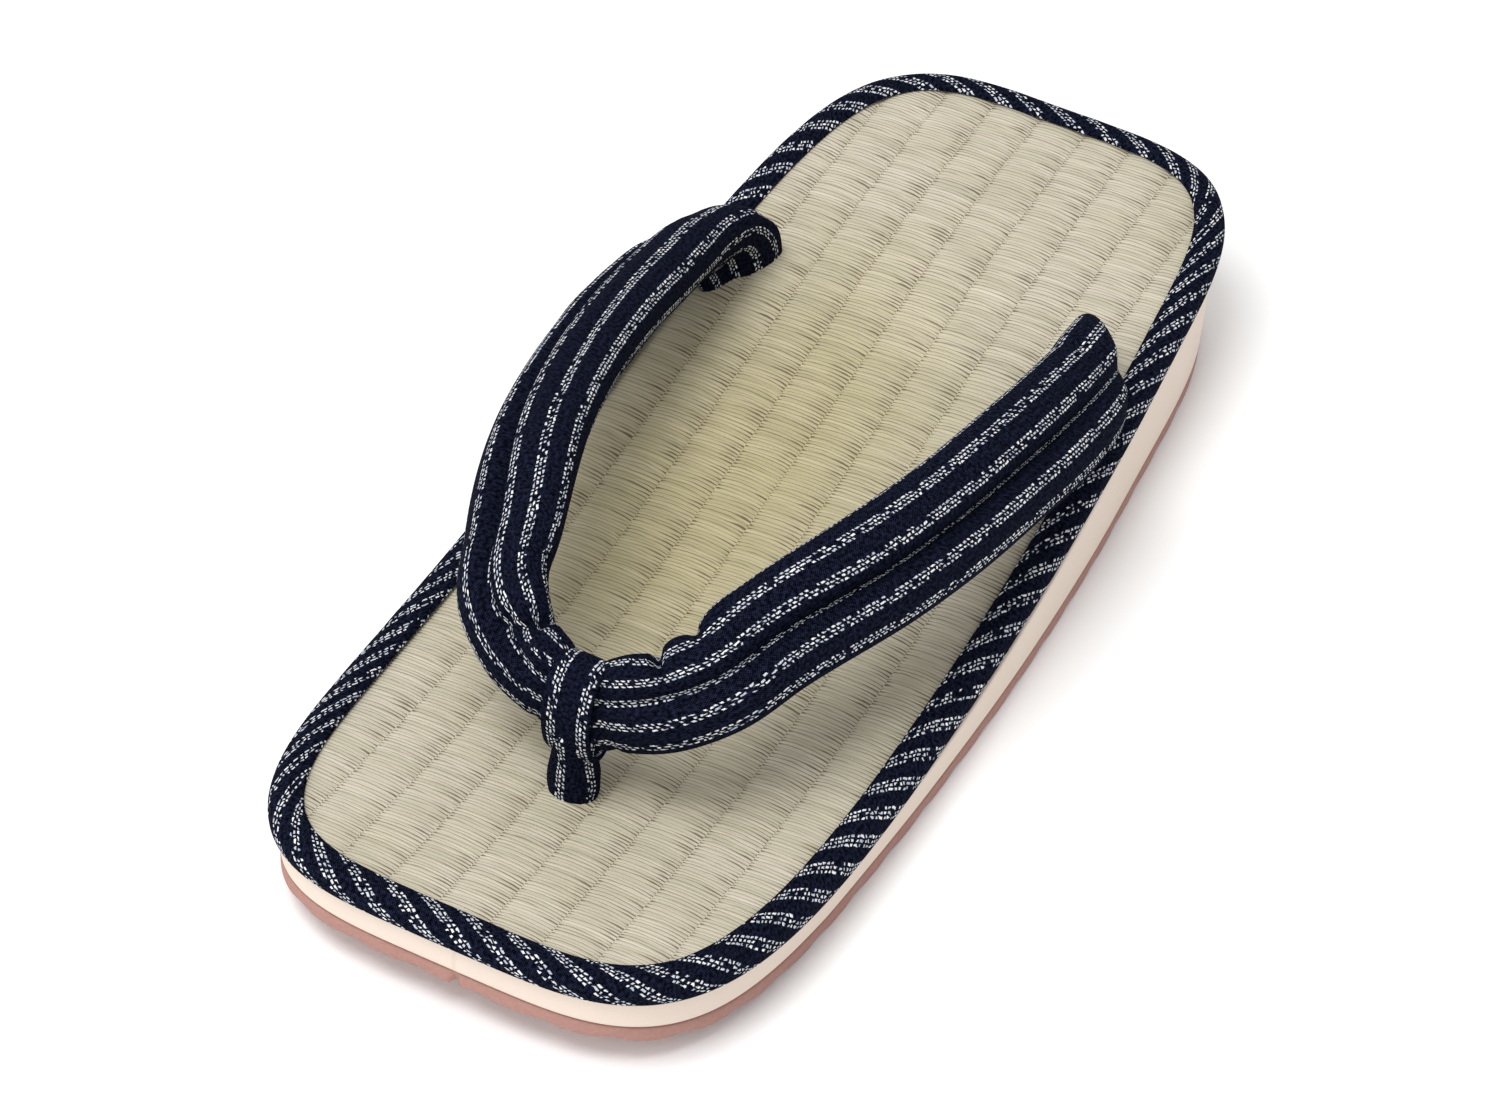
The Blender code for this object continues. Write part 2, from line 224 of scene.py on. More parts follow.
rings = [                   # the underside, the waved edge, the wall and the top, with eased corners
    (wall - SKIRT, 0.0, tread, 0.0),
    (wall - SKIRT, 1.0, tread, 0.0),
    (wall - 0.0020, 1.0, skirt, 0.0),
    (wall - 0.0003, 1.0, lower_edge, 0.0),
    (wall - 0.0001, 1.0, lower_edge, 0.0002),
    (wall, 1.0, lower_edge, 0.0006),
    (wall, 1.0, rubber_top, -0.0004),
    (wall - 0.0002, 1.0, rubber_top, -0.0001),
    (wall - 0.0006, 1.0, rubber_top, 0.0),
    (wall - 0.0006, 0.0, rubber_top, 0.0),
]
outsole = slab("brown_outsole", rings, steps=420)
for vert in outsole.data.vertices:
    if vert.co.y < -HALF:
        above = vert.co.z - float(sole_lift(vert.co.y))
        fade = min(max((above - PARTING_FULL)/PARTING_FADE, 0.0), 0.45)
        vert.co.y += PARTING_DEEP*float(notch(vert.co.x))*(1 - fade)

# Foam rubber, cut and ground: a dull brown with an open grain that the grinding leaves paler. The
# grain is drawn 0.7 mm wide, coarser than the real one, and faint clouds lie 10 mm apart.
rubber, shader = finish("ground foam rubber", roughness=0.86, specular=0.3)
place = node(rubber, "TexCoord").outputs["Object"]
grain = node(rubber, "TexNoise", (("Vector", place), ("Scale", 1400.0), ("Detail", 3.0)))
cloud = node(rubber, "TexNoise", (("Vector", place), ("Scale", 90.0), ("Detail", 2.0)))
ground = node(rubber, "MapRange", (("Value", grain.outputs["Fac"]), ("From Min", 0.40), ("From Max", 0.66)))
tone = node(rubber, "Mix", (("Factor", ground.outputs[0]), (6, linear("#9f776d")), (7, linear("#ae877d"))),
            data_type="RGBA")
even = node(rubber, "Mix", (("Factor", 0.6), (6, tone.outputs[2]), (7, linear("#a67e75"))),
            data_type="RGBA")
cloudy = node(rubber, "MapRange", (("Value", cloud.outputs["Fac"]), ("To Min", 0.95), ("To Max", 1.05)))
toned = node(rubber, "Mix", (("Factor", 1.0), (6, even.outputs[2]), (7, cloudy.outputs[0])),
             data_type="RGBA", blend_type="MULTIPLY")
relief = node(rubber, "Bump", (("Height", grain.outputs["Fac"]), ("Distance", 0.0002), ("Strength", 0.25)))
rubber.node_tree.links.new(toned.outputs[2], shader.inputs["Base Color"])
rubber.node_tree.links.new(relief.outputs[0], shader.inputs["Normal"])
outsole.data.materials.append(rubber)
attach(outsole, "root")
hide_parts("outsole")

# Midsole
# A wedge of cream foam, low at the ball and high at the heel. Its wall is cut and lightly ground,
# with the mould parting's faint line at the toe.
FIT = 0.0003                # clearance under and over the wedge, and round the mat's rim
RIM_TALL = 0.0040           # the binding's wall, below the mat's top
FOAM_SWELL = 0.00015        # how far the wall swells out at half its height
TOE_FRONT = -0.11           # the parting shows in front of this


def foam_low(line):
    return rubber_top(line) + FIT


def foam_high(line):
    return mat_top(line[:, 1]) - RIM_TALL - FIT


rings = [
    (wall - 0.0008, 0.0, foam_low, 0.0),
    (wall - 0.0008, 1.0, foam_low, 0.0),
    (wall - 0.0002, 1.0, foam_low, 0.0001),
    (wall, 1.0, foam_low, 0.0005),
]
for share in (0.12, 0.25, 0.4, 0.55, 0.7, 0.85, 0.97):
    rings.append((wall + FOAM_SWELL*math.sin(math.pi*share), 1.0,
                  lambda line, share=share: foam_low(line)*(1 - share) + foam_high(line)*share, 0.0))
rings += [
    (wall - 0.0003, 1.0, foam_high, 0.0),
    (wall - 0.0003, 0.0, foam_high, 0.0),
]
midsole = slab("cream_midsole", rings, steps=300)

# Closed-cell foam: warm cream and dull, with pores about half a millimetre wide and, at the toe, the
# parting's faint upright line.
foam, shader = finish("cut cream foam", roughness=0.78, specular=0.35)
place = node(foam, "TexCoord").outputs["Object"]
pores = node(foam, "TexNoise", (("Vector", place), ("Scale", 1800.0), ("Detail", 2.0)))
cloud = node(foam, "TexNoise", (("Vector", place), ("Scale", 40.0), ("Detail", 3.0)))
axes = node(foam, "SeparateXYZ", (("Vector", place),))
aside = node(foam, "Math", ((0, axes.outputs["X"]), (1, PARTING_AT)), operation="SUBTRACT")
aside = node(foam, "Math", ((0, aside.outputs[0]),), operation="ABSOLUTE")
upright = node(foam, "MapRange", (("Value", aside.outputs[0]), ("From Max", PARTING_WIDE),
                                  ("To Min", 1.0), ("To Max", 0.0)), interpolation_type="SMOOTHSTEP")
toe = node(foam, "Math", ((0, axes.outputs["Y"]), (1, TOE_FRONT)), operation="LESS_THAN")
parting = node(foam, "Math", ((0, upright.outputs[0]), (1, toe.outputs[0])), operation="MULTIPLY")
tone = node(foam, "Mix", (("Factor", cloud.outputs["Fac"]), (6, linear("#dbcbbd")), (7, linear("#e3d4c7"))),
            data_type="RGBA")
faint = node(foam, "Math", ((0, parting.outputs[0]), (1, 0.16)), operation="MULTIPLY")
lined = node(foam, "Mix", (("Factor", faint.outputs[0]), (6, tone.outputs[2]), (7, linear("#b09684"))),
             data_type="RGBA")
height = node(foam, "Math", ((0, pores.outputs["Fac"]), (1, parting.outputs[0])), operation="SUBTRACT")
relief = node(foam, "Bump", (("Height", height.outputs[0]), ("Distance", 0.00012), ("Strength", 0.5)))
foam.node_tree.links.new(lined.outputs[2], shader.inputs["Base Color"])
foam.node_tree.links.new(relief.outputs[0], shader.inputs["Normal"])
midsole.data.materials.append(foam)
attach(midsole, "root")
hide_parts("midsole")

# Mat
# Dried rush stems laid side by side across the foot and bound by warp threads 10 mm apart, so that
# they swell into a low rib between two threads and dip under each one.
RIB_PITCH = 0.0099
RIB_SHIFT = 0.0003          # the middle rib's offset from the sandal's middle line
RIB_RISE = 0.0006
RIB_ROUND = 0.6             # power of the rib's round top, flatter below 1
STEM = 0.00086              # from one stem to the next
STEM_ROWS = 4               # rows of the grid for each stem
RIB_ROWS = 7                # columns of the grid for each rib
GROOVE = 0.00007            # between two stems
GROOVE_END = 0.00010        # how much deeper it is where they part towards the next warp thread
GROOVE_START = 0.00006      # and where they come from under the last one
STRAY = (                   # how far the stems stray along the foot, in waves of what size, from what phase
    (0.00025, 0.0071, 0.0), (0.00020, 0.0038, 1.0),
)
MAT_OUT = 0.0040            # its rim, under the binding
MAT_STEPS = 900             # points of its rim from toe to heel
RUSH_THICK = 0.0029

rim = outline(MAT_OUT, MAT_STEPS)[:MAT_STEPS + 1]
reach = HALF + MAT_OUT
stems = round(2*reach/STEM)
along = np.linspace(-1, 1, stems*STEM_ROWS + 1)*reach
stray = sum(far*np.sin(along/size + phase) for far, size, phase in STRAY)
along = np.clip(along + stray*(1 - (along/reach)**8), -reach, reach)
limit = np.interp(along, rim[:, 1], rim[:, 0])
limit[0] = limit[-1] = 0.0
ribs = math.ceil((BALL_HALF + RIM_WIDE)/RIB_PITCH)
across = np.arange(-ribs*RIB_ROWS, ribs*RIB_ROWS + 1)/RIB_ROWS
x = (across[:, None] + 0.5)*RIB_PITCH + RIB_SHIFT + 0*along[None, :]
x = np.clip(x, -limit[None, :], limit[None, :])
share = (x - RIB_SHIFT)/RIB_PITCH - 0.5
rib = np.floor(share + 1e-6)
phase = np.clip(share - rib, 0, 1)
crown = np.sin(math.pi*phase)**RIB_ROUND - 1
row = np.arange(len(along))[None, :]
stagger = rib.astype(int) % 2*(STEM_ROWS//2)       # every other rib starts its stems half a stem on
between = ((row + stagger) % STEM_ROWS == 0)*1.0
groove = (GROOVE + GROOVE_END*np.clip((phase - 0.55)/0.4, 0, 1)
          + GROOVE_START*np.clip(1 - phase/0.12, 0, 1))
top = mat_top(along)[None, :] + RIB_RISE*crown - between*groove
points = np.stack([x, along[None, :] + 0*x, top], axis=-1)
mat = skin("rush_mat", points, (2*ribs, stems))

# Its edge goes down all round, and a strip of faces across the foot at every row closes the underside.
shape = bmesh.new()
shape.from_mesh(mat.data)
bmesh.ops.recalc_face_normals(shape, faces=shape.faces)
if sum(face.normal.z for face in shape.faces) < 0:
    bmesh.ops.reverse_faces(shape, faces=shape.faces)
hem = bmesh.ops.extrude_edge_only(shape, edges=[e for e in shape.edges if e.is_boundary])
low = [v for v in hem["geom"] if isinstance(v, bmesh.types.BMVert)]
for vert in low:
    vert.co.z = mat_top(vert.co.y) - RUSH_THICK
pairs = {}
for vert in low:
    pairs.setdefault(round(vert.co.y, 6), []).append(vert)
order = [sorted(pairs[key], key=lambda v: v.co.x) for key in sorted(pairs)]
ends = [(group[0], group[-1]) for group in order]
for (a, b), (c, d) in zip(ends, ends[1:]):
    corners = [v for k, v in enumerate((a, b, d, c)) if v not in (a, b, d, c)[:k]]
    if len(corners) > 2:
        shape.faces.new(corners)
bmesh.ops.recalc_face_normals(shape, faces=shape.faces)
shape.to_mesh(mat.data)
shape.free()
mat.data.shade_smooth()

# Dried rush: straw green gone pale, silky along the stem, with painted brown shade in the gaps between
# the stems that widens towards each warp thread. On the map one unit is a rib across the foot and a stem
# along it, and a stem is 0.86 mm wide, as in fine matting.
rush, shader = finish("dried rush", roughness=0.62, sheen=0.15, specular=0.45)
chart = node(rush, "UVMap", uv_map="cloth")
axes = node(rush, "SeparateXYZ", (("Vector", chart.outputs["UV"]),))
rib = node(rush, "Math", ((0, axes.outputs["X"]),), operation="FLOOR")
half = node(rush, "Math", ((0, rib.outputs[0]), (1, 0.5)), operation="MULTIPLY")
stem_at = node(rush, "Math", ((0, axes.outputs["Y"]), (1, half.outputs[0])), operation="ADD")
# The lines between stems stray by up to half a stem, since no two stems are equally thick.
uneven = node(rush, "Mapping", (("Vector", chart.outputs["UV"]), ("Scale", (0.9, 0.45, 1.0))))
uneven = node(rush, "TexNoise", (("Vector", uneven.outputs[0]), ("Scale", 1.0), ("Detail", 2.0)),
              noise_dimensions="2D")
uneven = node(rush, "MapRange", (("Value", uneven.outputs["Fac"]), ("To Min", -0.5), ("To Max", 0.5)))
stem_at = node(rush, "Math", ((0, stem_at.outputs[0]), (1, uneven.outputs[0])), operation="ADD")
stem = node(rush, "Math", ((0, stem_at.outputs[0]), (1, 0.5)), operation="ADD")
stem = node(rush, "Math", ((0, stem.outputs[0]),), operation="FLOOR")
# Each stem in each rib has its own chance of where the thread crosses it, where it opens, and its hue.
cell = node(rush, "CombineXYZ", (("X", rib.outputs[0]), ("Y", stem.outputs[0])))
luck = node(rush, "TexWhiteNoise", (("Vector", cell.outputs[0]),), noise_dimensions="2D")
chance = node(rush, "SeparateColor", (("Color", luck.outputs["Color"]),))
jag = node(rush, "MapRange", (("Value", chance.outputs[0]), ("To Min", -0.035), ("To Max", 0.035)))
phase = node(rush, "Math", ((0, axes.outputs["X"]), (1, jag.outputs[0])), operation="ADD")
phase = node(rush, "Math", ((0, phase.outputs[0]),), operation="FRACT")
gap = node(rush, "Math", ((0, stem_at.outputs[0]), (1, stem.outputs[0])), operation="SUBTRACT")
gap = node(rush, "Math", ((0, gap.outputs[0]),), operation="ABSOLUTE")
opens = node(rush, "MapRange", (("Value", chance.outputs[1]), ("To Min", 0.45), ("To Max", 0.92)))
after = node(rush, "Math", ((0, phase.outputs[0]), (1, opens.outputs[0])), operation="SUBTRACT")
after = node(rush, "MapRange", (("Value", after.outputs[0]), ("From Min", 0.0), ("From Max", 0.45),
                                ("To Min", 0.05), ("To Max", 0.17)))
before = node(rush, "MapRange", (("Value", phase.outputs[0]), ("From Min", 0.0), ("From Max", 0.10),
                                 ("To Min", 0.16), ("To Max", 0.05)))
width = node(rush, "Math", ((0, after.outputs[0]), (1, before.outputs[0])), operation="MAXIMUM")
soft = node(rush, "Math", ((0, width.outputs[0]), (1, 0.06)), operation="ADD")
# Painted shade: the gaps between the stems are darkened, most where they widen towards the next warp
# thread.
painted_gap_shade = node(rush, "MapRange", (("Value", gap.outputs[0]), ("From Min", width.outputs[0]),
                               ("From Max", soft.outputs[0]), ("To Min", 1.0), ("To Max", 0.0)),
            interpolation_type="SMOOTHSTEP")
weight = node(rush, "MapRange", (("Value", width.outputs[0]), ("From Min", 0.05), ("From Max", 0.15),
                                 ("To Min", 0.60), ("To Max", 0.88)))
painted_gap_shade = node(rush, "Math", ((0, painted_gap_shade.outputs[0]), (1, weight.outputs[0])), operation="MULTIPLY")
# Fibres run along the stem, 0.4 mm apart, and greener patches lie some 25 mm apart.
place = node(rush, "TexCoord").outputs["Object"]
drawn = node(rush, "Mapping", (("Vector", place), ("Scale", (60.0, 2600.0, 60.0))))
fibre = node(rush, "TexNoise", (("Vector", drawn.outputs[0]), ("Scale", 1.0), ("Detail", 3.0)))
patch = node(rush, "TexNoise", (("Vector", place), ("Scale", 38.0), ("Detail", 2.0)))
hue = node(rush, "MapRange", (("Value", chance.outputs[2]), ("From Min", 0.15), ("From Max", 0.85)))
tone = node(rush, "Mix", (("Factor", hue.outputs[0]), (6, linear("#b9b29c")), (7, linear("#c4bcaa"))),
            data_type="RGBA")
green = node(rush, "MapRange", (("Value", patch.outputs["Fac"]), ("From Min", 0.42), ("From Max", 0.70)))
green = node(rush, "Math", ((0, green.outputs[0]), (1, 0.55)), operation="MULTIPLY")
tone = node(rush, "Mix", (("Factor", green.outputs[0]), (6, tone.outputs[2]), (7, linear("#b2ab91"))),
            data_type="RGBA")
# Painted shade: between the straps the mat is tinted a little darker and yellower, for their shadow and the
# light the mat throws back there.
painted_strap_shade = node(rush, "Mapping", (("Vector", place), ("Location", (0.3, 0.0, 0.0)),
                                ("Scale", (24.0, 13.0, 0.0))))
painted_strap_shade = node(rush, "VectorMath", ((0, painted_strap_shade.outputs[0]),), operation="LENGTH")
painted_strap_shade = node(rush, "MapRange", (("Value", painted_strap_shade.outputs["Value"]), ("From Min", 0.1), ("From Max", 1.25),
                                 ("To Min", 1.0), ("To Max", 0.0)), interpolation_type="SMOOTHSTEP")
tone = node(rush, "Mix", (("Factor", painted_strap_shade.outputs[0]), (6, tone.outputs[2]), (7, linear("#f5f1d2"))),
            data_type="RGBA", blend_type="MULTIPLY")
streak = node(rush, "MapRange", (("Value", fibre.outputs["Fac"]), ("From Min", 0.3), ("From Max", 0.7),
                                 ("To Min", 0.82), ("To Max", 1.12)))
tone = node(rush, "Mix", (("Factor", 1.0), (6, tone.outputs[2]), (7, streak.outputs[0])),
            data_type="RGBA", blend_type="MULTIPLY")
# The painted gap shade, laid over the grooves that the mesh also cuts.
tone = node(rush, "Mix", (("Factor", painted_gap_shade.outputs[0]), (6, tone.outputs[2]), (7, linear("#5b4a33"))),
            data_type="RGBA")
height = node(rush, "Math", ((0, fibre.outputs["Fac"]), (1, painted_gap_shade.outputs[0])), operation="SUBTRACT")
relief = node(rush, "Bump", (("Height", height.outputs[0]), ("Distance", 0.00012), ("Strength", 0.7)))
rush.node_tree.links.new(tone.outputs[2], shader.inputs["Base Color"])
rush.node_tree.links.new(relief.outputs[0], shader.inputs["Normal"])
mat.data.materials.append(rush)
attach(mat, "root")
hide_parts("mat")

# Binding
# A bias-cut tape of the strap's striped cotton, folded over the mat's rim and pulled under it, so
# that the stripes cross the rim slantwise all the way round.
RIM_CROWN = 0.0014
FACE = (                    # run over the tape, share of its width, height in shares of crown or wall
    (0.0, 0.00, 0.15), (0.4, 0.01, 0.55), (1.0, 0.10, 0.86), (2.2, 0.28, 1.00), (3.6, 0.50, 0.99),
    (5.0, 0.72, 0.70), (6.2, 0.90, 0.12), (7.4, 0.99, -0.30), (8.6, 1.00, -0.58), (9.6, 0.96, -0.84),
    (10.4, 0.86, -1.00),
)
RIM_STEPS = 320             # points of the rim from toe to heel
FACE_STEPS = 25             # points over the tape's outer face
HIDDEN_RUN = 5.4            # millimetres of tape between two corners of its hidden side
BIAS_PITCH = 8.2            # millimetres from one slanting stripe to the next, along the rim
BIAS_SLANT = -1/1.75        # a stripe's step over the tape for a step along the rim
PUCKER = (                  # how far the sewing draws the tape in and out, waves round the rim, phase
    (0.000024, 23, 1), (0.000020, 41, 0), (0.000012, 67, 2),
)

girth = np.linalg.norm(np.diff(outline(RIM_WIDE/2, 2400), axis=0), axis=1).sum()*1000
turn = np.linspace(0, 2*math.pi, 2*RIM_STEPS + 1)
pucker = sum(far*np.sin(waves*turn + phase) for far, waves, phase in PUCKER)
run = np.linspace(0, FACE[-1][0], FACE_STEPS)
profile = []                # outset, height over the mat, share of the pucker
for r in run:
    share, height = float(smooth(FACE, r, 1)), float(smooth(FACE, r, 2))
    profile.append((share*RIM_WIDE, height*(RIM_CROWN if height > 0 else RIM_TALL), 1.0))
profile += [(0.0, -RIM_TALL, 0.0), (0.0, -RUSH_THICK - FIT, 0.0), (MAT_OUT + FIT, -RUSH_THICK - FIT, 0.0),
            (MAT_OUT + FIT, FIT, 0.0), (0.0, FIT, 0.0), (profile[0][0], profile[0][1], 1.0)]
columns = []
for outset, dz, loose in profile:
    line = outline(outset, RIM_STEPS)
    lift = dz + (pucker*loose if dz > -RUSH_THICK else 0.0)
    columns.append(np.column_stack([line, mat_top(line[:, 1]) + lift]))
points = np.stack(columns, axis=1)
binding = skin("bound_rim", points, (girth, len(profile) - 1))
# The map's rows are set apart by the tape's own run, so that its stripes keep their width.
measure = np.concatenate([run, run[-1] + HIDDEN_RUN*np.arange(1, len(profile) - len(run) + 1)])
for corner in binding.data.uv_layers["cloth"].data:
    corner.uv.y = float(np.interp(corner.uv.y, np.arange(len(measure)), measure))

# Navy cotton, plain woven, with stripes of resist-dyed yarn: dull, hairy, and flecked with white dashes
# in three staggered rows to a stripe.
DASH_ROW = 0.68             # millimetres from one row of dashes to the next
DASH = 1.1                  # from one dash to the next
DASH_STAGGER = 0.47         # how far each row lies on from the last, in dashes
DASH_LEAN = 0.55            # how far a dash leans, in dashes for a millimetre over the row
STRIPE_SWAY = 0.175         # how far a stripe wanders to either side
THREAD = 0.45               # from thread to thread as drawn, so that they show: in the real cloth 0.3


def striped_cotton(name, pitch, slant, shift):
    """The cloth with its stripes pitch millimetres apart, leaning by slant and starting at shift."""
    cloth, shader = finish(name, roughness=0.92, specular=0.02)
    chart = node(cloth, "UVMap", uv_map="cloth").outputs["UV"]
    length = math.hypot(1, slant)
    over = node(cloth, "VectorMath", ((0, chart), (1, (slant, 1, 0))),
                operation="DOT_PRODUCT").outputs["Value"]
    along = node(cloth, "VectorMath", ((0, chart), (1, (1/length/DASH, -slant/length/DASH, 0))),
                 operation="DOT_PRODUCT").outputs["Value"]
    sway = node(cloth, "TexNoise", (("Vector", chart), ("Scale", 0.9), ("Detail", 1.0)),
                noise_dimensions="2D").outputs["Fac"]
    over = node(cloth, "Math", ((0, over), (1, shift)), operation="SUBTRACT").outputs[0]
    stripe = node(cloth, "Math", ((0, over), (1, 1/pitch)), operation="MULTIPLY").outputs[0]
    stripe = node(cloth, "Math", ((0, stripe),), operation="ROUND").outputs[0]
    off = node(cloth, "Math", ((0, over), (1, pitch/2), (2, -pitch/2)), operation="WRAP").outputs[0]
    drift = node(cloth, "MapRange", (("Value", sway), ("To Min", -STRIPE_SWAY),
                                     ("To Max", STRIPE_SWAY))).outputs[0]
    off = node(cloth, "Math", ((0, off), (1, 1/length), (2, drift)), operation="MULTIPLY_ADD").outputs[0]
    # The rows of a stripe, and the dashes of a row.
    row = node(cloth, "Math", ((0, off), (1, 1/DASH_ROW)), operation="MULTIPLY").outputs[0]
    row = node(cloth, "Math", ((0, row),), operation="ROUND").outputs[0]
    aside = node(cloth, "Math", ((0, off), (1, DASH_ROW/2), (2, -DASH_ROW/2)), operation="WRAP").outputs[0]
    step = node(cloth, "Math", ((0, sway), (1, 1.2), (2, along)), operation="MULTIPLY_ADD").outputs[0]
    step = node(cloth, "Math", ((0, row), (1, DASH_STAGGER), (2, step)),
                operation="MULTIPLY_ADD").outputs[0]
    step = node(cloth, "Math", ((0, aside), (1, DASH_LEAN), (2, step)),
                operation="MULTIPLY_ADD").outputs[0]
    dash = node(cloth, "Math", ((0, step),), operation="FLOOR").outputs[0]
    line = node(cloth, "Math", ((0, stripe), (1, 7.0), (2, row)), operation="MULTIPLY_ADD").outputs[0]
    cell = node(cloth, "CombineXYZ", (("X", dash), ("Y", line)))
    luck = node(cloth, "TexWhiteNoise", (("Vector", cell.outputs[0]),), noise_dimensions="2D")
    luck = node(cloth, "SeparateColor", (("Color", luck.outputs["Color"]),)).outputs
    ends = node(cloth, "Math", ((0, step), (1, 0.5)), operation="PINGPONG").outputs[0]
    ends = node(cloth, "MapRange", (("Value", ends), ("From Min", 0.20), ("From Max", 0.31)),
                interpolation_type="SMOOTHSTEP").outputs[0]
    sides = node(cloth, "Math", ((0, aside),), operation="ABSOLUTE").outputs[0]
    sides = node(cloth, "MapRange", (("Value", sides), ("From Min", 0.14), ("From Max", 0.23),
                                     ("To Min", 1.0), ("To Max", 0.0)),
                 interpolation_type="SMOOTHSTEP").outputs[0]
    within = node(cloth, "Math", ((0, row), (1, 0.0), (2, 1.5)), operation="COMPARE").outputs[0]
    taken = node(cloth, "Math", ((0, luck[0]), (1, 0.14)), operation="GREATER_THAN").outputs[0]
    white = node(cloth, "Math", ((0, ends), (1, sides)), operation="MULTIPLY").outputs[0]
    white = node(cloth, "Math", ((0, white), (1, within)), operation="MULTIPLY").outputs[0]
    white = node(cloth, "Math", ((0, white), (1, taken)), operation="MULTIPLY").outputs[0]
    # The weave's crossing threads and its fuzz, which catch a little light on the navy.
    fuzz = node(cloth, "TexNoise", (("Vector", chart), ("Scale", 1.5), ("Detail", 3.0)),
                noise_dimensions="2D").outputs["Fac"]
    turned = node(cloth, "VectorMath", ((0, chart), (1, (2*math.pi/THREAD,)*3)),
                  operation="MULTIPLY").outputs[0]
    turned = node(cloth, "VectorMath", ((0, turned),), operation="SINE").outputs[0]
    threads = node(cloth, "SeparateXYZ", (("Vector", turned),)).outputs
    weave = node(cloth, "Math", ((0, threads["X"]), (1, threads["Y"]), (2, fuzz)),
                 operation="MULTIPLY_ADD").outputs[0]
    lit = node(cloth, "Math", ((0, weave), (1, 0.3), (2, fuzz)), operation="MULTIPLY_ADD").outputs[0]
    lit = node(cloth, "MapRange", (("Value", lit), ("From Min", 0.5), ("From Max", 0.95))).outputs[0]
    navy = node(cloth, "Mix", (("Factor", lit), (6, linear("#020309")), (7, linear("#20253a"))),
                data_type="RGBA").outputs[2]
    tint = node(cloth, "Mix", (("Factor", luck[1]), (6, linear("#b4bdcc")), (7, linear("#ffffff"))),
                data_type="RGBA").outputs[2]
    tone = node(cloth, "Mix", (("Factor", white), (6, navy), (7, tint)), data_type="RGBA").outputs[2]
    high = node(cloth, "Math", ((0, weave), (1, white)), operation="ADD").outputs[0]
    relief = node(cloth, "Bump", (("Height", high), ("Distance", 0.00012), ("Strength", 0.8))).outputs[0]
    cloth.node_tree.links.new(tone, shader.inputs["Base Color"])
    cloth.node_tree.links.new(relief, shader.inputs["Normal"])
    return cloth


stripes = round(girth/BIAS_PITCH)
bias = striped_cotton("bias cotton tape", girth/stripes*abs(BIAS_SLANT), BIAS_SLANT, 0.0)
binding.data.materials.append(bias)
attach(binding, "root")
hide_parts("binding")

# Straps
# One padded tube of the striped cotton, sewn along a lengthwise valley and folded at the toe. The
# post's loop gathers it there in creases, and both ends are tucked down through slits in the mat.
ARM = (                     # across, along, height over the mat, half width, half thickness, lean
    (0.000, -0.653, 0.0190, 0.0090, 0.0044, 91),
    (0.331, -0.621, 0.0244, 0.0094, 0.0056, 81),
    (0.466, -0.578, 0.0282, 0.0098, 0.0062, 73),
    (0.577, -0.476, 0.0318, 0.0104, 0.0065, 66),
    (0.779, -0.260, 0.0322, 0.0110, 0.0069, 66),
    (0.860, -0.118, 0.0294, 0.0110, 0.0070, 67),
    (0.912, 0.044, 0.0246, 0.0110, 0.0071, 67),
    (0.940, 0.200, 0.0188, 0.0109, 0.0071, 66),
    (0.936, 0.300, 0.0150, 0.0105, 0.0068, 70),
    (0.900, 0.376, 0.0115, 0.0099, 0.0058, 80),
    (0.848, 0.428, 0.0068, 0.0096, 0.0039, 90),
    (0.818, 0.446, 0.0010, 0.0096, 0.0027, 101),
    (0.806, 0.448, -0.0036, 0.0095, 0.0024, 105),
    (0.805, 0.448, -0.0066, 0.0094, 0.0024, 105),
)
REAR_SKEW = 0.0020          # the right arm's end lies this far back, the left one's forward
SKEW_ALONG = (-0.2, 0.3)    # the skew comes in between these, in the ARM table's measure along
ARM_STEPS = 250
ROUND = 72                  # points round the tube
STRAP_GIRTH = 58.0          # millimetres round it
STRIPES = 11                # round it
MEAN_OVAL = (0.0108, 0.0069)    # its usual half width and half thickness
VALLEY_AT = 0.24            # share of the girth at which the valley lies, with a stripe in it
VALLEY_WIDE = 0.042         # share of the girth over which cloth is drawn into it
INNER_VALLEY = (0.35, 276, 26)  # a shallower one inside: share of its depth, place, reach in degrees


def arm_frames(hand):
    """Run, centre, width direction, face normal and half sizes along an arm, worked on the right."""
    rows = np.array(ARM)
    start, end = SKEW_ALONG
    back = np.clip((rows[:, 1] - start)/(end - start), 0, 1)
    y = rows[:, 1]*HALF + hand*REAR_SKEW*back*back*(3 - 2*back)
    path = np.column_stack([rows[:, 0]*BALL_HALF, y, mat_top(rows[:, 1]*HALF) + rows[:, 2]])
    run = np.concatenate([[0], np.cumsum(np.linalg.norm(np.diff(path, axis=0), axis=1))])
    at = np.linspace(0, run[-1], ARM_STEPS + 1)
    table = np.column_stack([run, path, rows[:, 3:]])
    centre = np.column_stack([smooth(table, at, k) for k in (1, 2, 3)])
    tangent = np.gradient(centre, axis=0)
    tangent[0] = (1, 0, 0)
    tangent /= np.linalg.norm(tangent, axis=1, keepdims=True)
    side, frames = np.array((0.0, -1.0, 0.0)), []
    for k, s in enumerate(at):
        side = side - side.dot(tangent[k])*tangent[k]
        side /= np.linalg.norm(side)
        up = np.cross(side, tangent[k])
        lean = math.radians(float(smooth(table, s, 6)))
        frames.append((s, centre[k], side*math.cos(lean) - up*math.sin(lean),
                       up*math.cos(lean) + side*math.sin(lean),
                       float(smooth(table, s, 4)), float(smooth(table, s, 5))))
    return frames


